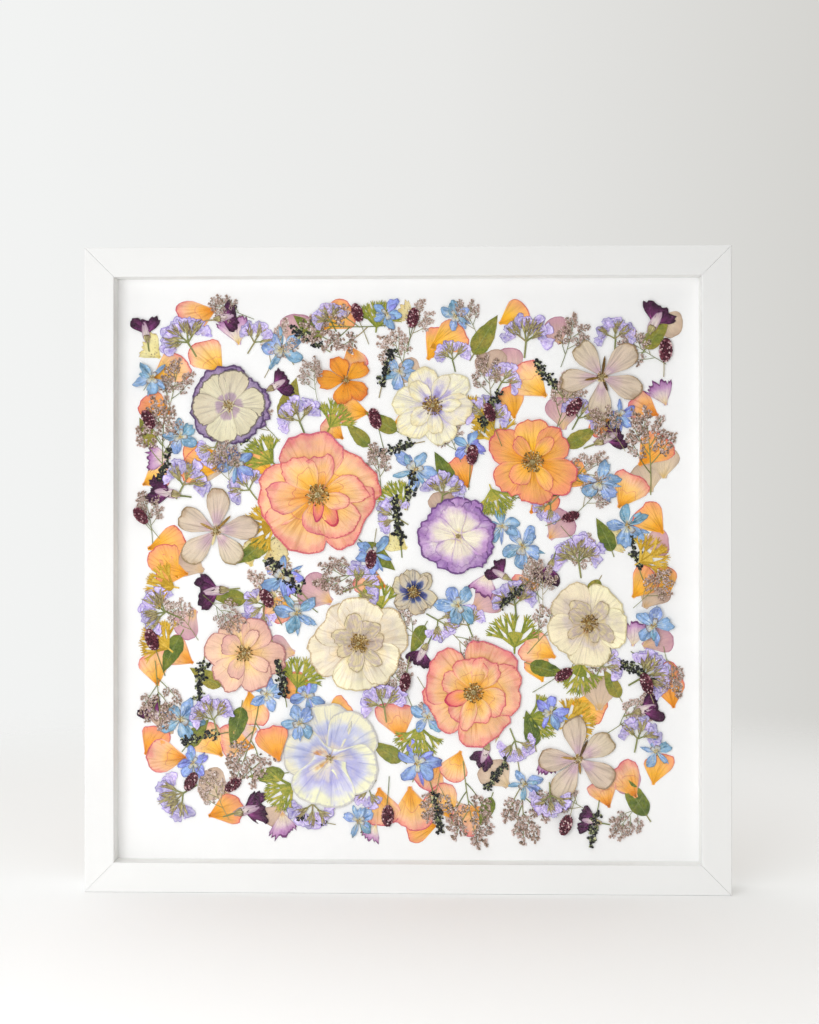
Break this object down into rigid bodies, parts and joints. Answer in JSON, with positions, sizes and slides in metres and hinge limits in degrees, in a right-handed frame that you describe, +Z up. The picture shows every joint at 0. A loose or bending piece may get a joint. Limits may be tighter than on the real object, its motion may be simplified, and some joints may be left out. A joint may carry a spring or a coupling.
{
  "type": "pressed flower frame",
  "caption": "Square white box frame that stands on its lower edge or hangs, with pressed flowers, leaves and seed heads laid flat on a pale card behind glass.",
  "frame": {"origin": "middle of the whole depth and width, on the surface the lower edge stands on", "axes": "+Z up, +X to the right as seen from the front, the glass faces -Y"},
  "size_m": [0.5, 0.0368, 0.5],
  "materials": {
    "painted_moulding": "satin white paint",
    "clear_glass": "clear picture glass",
    "white_spacer": "matt white",
    "mount_card": "matt off-white cotton card",
    "fibre_board": "brown fibre board",
    "zinc_steel": "zinc-plated steel",
    "plated_brass": "brass plate",
    "apricot_petal": "dried petal, pink at the rim",
    "orange_petal": "dried orange petal",
    "blush_petal": "dried blush petal",
    "cream_petal": "dried cream petal",
    "lilac_petal": "dried pale lilac petal",
    "purple_petal": "dried purple petal",
    "ink_blue_petal": "dried petal streaked dark blue",
    "mauve_petal": "dried fawn and mauve petal",
    "larkspur_petal": "dried light blue petal",
    "statice_calyx": "papery lavender",
    "sea_lavender_head": "tiny brown and mauve florets",
    "green_leaf": "dried leaf",
    "plum_petal": "dried dark plum petal",
    "maroon_head": "dense maroon florets",
    "dark_seed_spike": "dark seed cases",
    "fern_green": "dried yellow-green foliage"
  },
  "bodies": {
    "root": {"rail_bottom": "painted_moulding", "rail_left": "painted_moulding", "rail_top": "painted_moulding", "rail_right": "painted_moulding", "glass_pane": "clear_glass", "spacer_bottom": "white_spacer", "spacer_left": "white_spacer", "spacer_top": "white_spacer", "spacer_right": "white_spacer", "mount_card": "mount_card", "backing_board": "fibre_board", "framer_point_bottom": "zinc_steel", "framer_point_left": "zinc_steel", "framer_point_top": "zinc_steel", "framer_point_right": "zinc_steel", "sawtooth_hanger": "plated_brass", "hanger_nail_left": "plated_brass", "hanger_nail_right": "plated_brass", "rose_apricot": "apricot_petal", "rose_peach": "apricot_petal", "rose_orange": "orange_petal", "rose_blush": "blush_petal", "rose_cream": "cream_petal", "rose_ivory": "cream_petal", "rose_tea": "cream_petal", "pinks_purple": "purple_petal", "pinks_cream": "cream_petal", "nigella": "ink_blue_petal", "cosmos": "orange_petal", "mauve_upper": "mauve_petal", "mauve_left": "mauve_petal", "mauve_lower": "mauve_petal", "pansy": "lilac_petal", "larkspur_1": "larkspur_petal", "larkspur_2": "larkspur_petal", "larkspur_3": "larkspur_petal", "larkspur_4": "larkspur_petal", "larkspur_5": "larkspur_petal", "larkspur_6": "larkspur_petal", "larkspur_7": "larkspur_petal", "statice_1": "statice_calyx", "statice_2": "statice_calyx", "statice_3": "statice_calyx", "statice_4": "statice_calyx", "statice_5": "statice_calyx", "statice_6": "statice_calyx", "sea_lavender_1": "sea_lavender_head", "sea_lavender_2": "sea_lavender_head", "sea_lavender_3": "sea_lavender_head", "sea_lavender_4": "sea_lavender_head", "sea_lavender_5": "sea_lavender_head", "sea_lavender_6": "sea_lavender_head", "leaf_1": "green_leaf", "leaf_2": "green_leaf", "leaf_3": "green_leaf", "snapdragon_1": "plum_petal", "snapdragon_2": "plum_petal", "burnet_head": "maroon_head", "dark_spike": "dark_seed_spike", "fern_tuft": "fern_green"}
  },
  "joints": []
}
